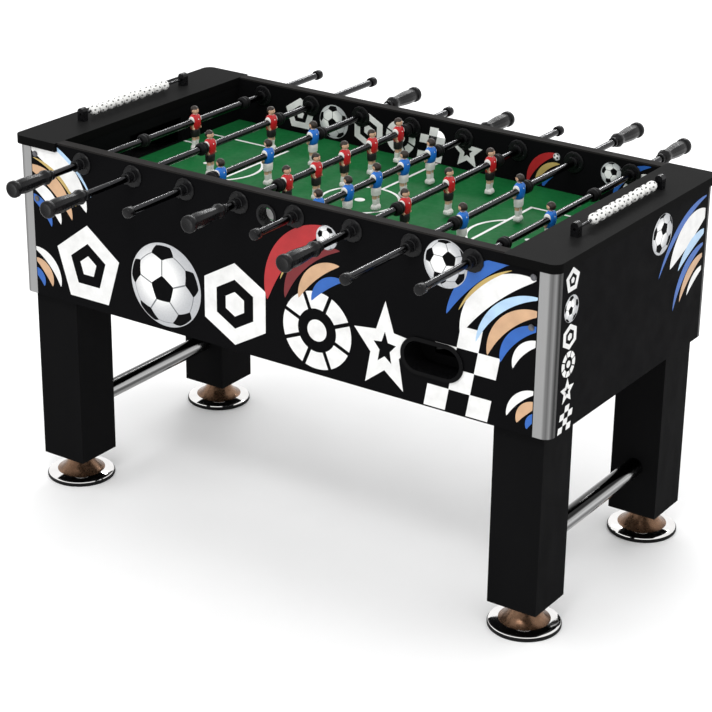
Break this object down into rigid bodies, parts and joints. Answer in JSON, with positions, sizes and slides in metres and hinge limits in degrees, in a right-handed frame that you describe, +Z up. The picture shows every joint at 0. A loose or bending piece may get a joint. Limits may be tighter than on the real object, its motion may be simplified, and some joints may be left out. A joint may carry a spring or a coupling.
{
  "type": "foosball table",
  "caption": "Free-standing football table with square legs, green field, sliding and turning player rods, end scorers and recessed ball returns.",
  "frame": {"origin": "on the floor, under the middle of the table", "axes": "+X along the table towards the blue goalkeeper's end, +Y across it away from the panel whose return cup is at +X, +Z up"},
  "size_m": [1.426, 1.27, 0.899],
  "materials": {
    "panel": "black laminate with printed motifs",
    "goal_wall": "black laminate",
    "field": "green laminate with white markings",
    "floor_board": "black board",
    "top_board": "charcoal laminate",
    "profile": "brushed",
    "leg": "black laminate",
    "chrome": "polished",
    "bearing": "moulded",
    "chute": "moulded",
    "rod_steel": "polished",
    "bolt": "polished",
    "bead": "gloss",
    "handle": "satin",
    "men_red": "gloss",
    "men_blue": "gloss",
    "bumper": "matte"
  },
  "bodies": {
    "cabinet": {"front_panel": "panel", "back_panel": "panel", "left_end_panel": "panel", "right_end_panel": "panel", "left_goal_wall": "goal_wall", "right_goal_wall": "goal_wall", "playfield": "field", "cabinet_floor": "floor_board", "left_top_board": "top_board", "right_top_board": "top_board", "side_top_rails": "top_board", "corner_profiles": "profile", "legs": "leg", "leg_tubes": "chrome", "rod_bearings": "bearing", "ball_entry_cups": "bearing", "ball_return_cups": "bearing", "left_ball_chute": "chute", "right_ball_chute": "chute", "score_posts": "bearing", "score_rods": "rod_steel", "panel_bolts": "bolt"},
    "foot_front_left": {"foot_front_left": "chrome"},
    "foot_front_right": {"foot_front_right": "chrome"},
    "foot_back_left": {"foot_back_left": "chrome"},
    "foot_back_right": {"foot_back_right": "chrome"},
    "left_beads": {"left_score_beads": "bead"},
    "right_beads": {"right_score_beads": "bead"},
    "bumpers_1": {"bumpers_1": "bumper"},
    "rod_1": {"rod_1": "rod_steel", "handle_1": "handle", "men_1": "men_red"},
    "bumpers_2": {"bumpers_2": "bumper"},
    "rod_2": {"rod_2": "rod_steel", "handle_2": "handle", "men_2": "men_red"},
    "bumpers_3": {"bumpers_3": "bumper"},
    "rod_3": {"rod_3": "rod_steel", "handle_3": "handle", "men_3": "men_blue"},
    "bumpers_4": {"bumpers_4": "bumper"},
    "rod_4": {"rod_4": "rod_steel", "handle_4": "handle", "men_4": "men_red"},
    "bumpers_5": {"bumpers_5": "bumper"},
    "rod_5": {"rod_5": "rod_steel", "handle_5": "handle", "men_5": "men_blue"},
    "bumpers_6": {"bumpers_6": "bumper"},
    "rod_6": {"rod_6": "rod_steel", "handle_6": "handle", "men_6": "men_red"},
    "bumpers_7": {"bumpers_7": "bumper"},
    "rod_7": {"rod_7": "rod_steel", "handle_7": "handle", "men_7": "men_blue"},
    "bumpers_8": {"bumpers_8": "bumper"},
    "rod_8": {"rod_8": "rod_steel", "handle_8": "handle", "men_8": "men_blue"}
  },
  "joints": [
    {"name": "foot_front_left_turn", "type": "hinge", "parent": "cabinet", "child": "foot_front_left", "pos_m": [-0.627, -0.272, 0], "axis": [0, 0, 1], "continuous": true},
    {"name": "foot_front_right_turn", "type": "hinge", "parent": "cabinet", "child": "foot_front_right", "pos_m": [0.627, -0.272, 0], "axis": [0, 0, 1], "continuous": true},
    {"name": "foot_back_left_turn", "type": "hinge", "parent": "cabinet", "child": "foot_back_left", "pos_m": [-0.627, 0.272, 0], "axis": [0, 0, 1], "continuous": true},
    {"name": "foot_back_right_turn", "type": "hinge", "parent": "cabinet", "child": "foot_back_right", "pos_m": [0.627, 0.272, 0], "axis": [0, 0, 1], "continuous": true},
    {"name": "left_beads_slide", "type": "slide", "parent": "cabinet", "child": "left_beads", "axis": [0, 1, 0], "range_m": [-0.0195, 0.0516]},
    {"name": "right_beads_slide", "type": "slide", "parent": "cabinet", "child": "right_beads", "axis": [0, 1, 0], "range_m": [-0.0516, 0.0195]},
    {"name": "rod_1_slide", "type": "slide", "parent": "cabinet", "child": "bumpers_1", "axis": [0, 1, 0], "range_m": [-0.1627, 0.0547]},
    {"name": "rod_1_turn", "type": "hinge", "parent": "bumpers_1", "child": "rod_1", "pos_m": [-0.5145, 0.054, 0.834], "axis": [0, 1, 0], "continuous": true},
    {"name": "rod_2_slide", "type": "slide", "parent": "cabinet", "child": "bumpers_2", "axis": [0, 1, 0], "range_m": [-0.1937, 0.1097]},
    {"name": "rod_2_turn", "type": "hinge", "parent": "bumpers_2", "child": "rod_2", "pos_m": [-0.3675, 0.042, 0.834], "axis": [0, 1, 0], "continuous": true},
    {"name": "rod_3_slide", "type": "slide", "parent": "cabinet", "child": "bumpers_3", "axis": [0, 1, 0], "range_m": [-0.0437, 0.1437]},
    {"name": "rod_3_turn", "type": "hinge", "parent": "bumpers_3", "child": "rod_3", "pos_m": [-0.2205, -0.05, 0.834], "axis": [0, 1, 0], "continuous": true},
    {"name": "rod_4_slide", "type": "slide", "parent": "cabinet", "child": "bumpers_4", "axis": [0, 1, 0], "range_m": [-0.0917, 0.0037]},
    {"name": "rod_4_turn", "type": "hinge", "parent": "bumpers_4", "child": "rod_4", "pos_m": [-0.0735, 0.044, 0.834], "axis": [0, 1, 0], "continuous": true},
    {"name": "rod_5_slide", "type": "slide", "parent": "cabinet", "child": "bumpers_5", "axis": [0, 1, 0], "range_m": [-0.0037, 0.0917]},
    {"name": "rod_5_turn", "type": "hinge", "parent": "bumpers_5", "child": "rod_5", "pos_m": [0.0735, -0.044, 0.834], "axis": [0, 1, 0], "continuous": true},
    {"name": "rod_6_slide", "type": "slide", "parent": "cabinet", "child": "bumpers_6", "axis": [0, 1, 0], "range_m": [-0.1177, 0.0697]},
    {"name": "rod_6_turn", "type": "hinge", "parent": "bumpers_6", "child": "rod_6", "pos_m": [0.2205, 0.024, 0.834], "axis": [0, 1, 0], "continuous": true},
    {"name": "rod_7_slide", "type": "slide", "parent": "cabinet", "child": "bumpers_7", "axis": [0, 1, 0], "range_m": [-0.1137, 0.1897]},
    {"name": "rod_7_turn", "type": "hinge", "parent": "bumpers_7", "child": "rod_7", "pos_m": [0.3675, -0.038, 0.834], "axis": [0, 1, 0], "continuous": true},
    {"name": "rod_8_slide", "type": "slide", "parent": "cabinet", "child": "bumpers_8", "axis": [0, 1, 0], "range_m": [-0.0687, 0.1487]},
    {"name": "rod_8_turn", "type": "hinge", "parent": "bumpers_8", "child": "rod_8", "pos_m": [0.5145, -0.04, 0.834], "axis": [0, 1, 0], "continuous": true}
  ]
}
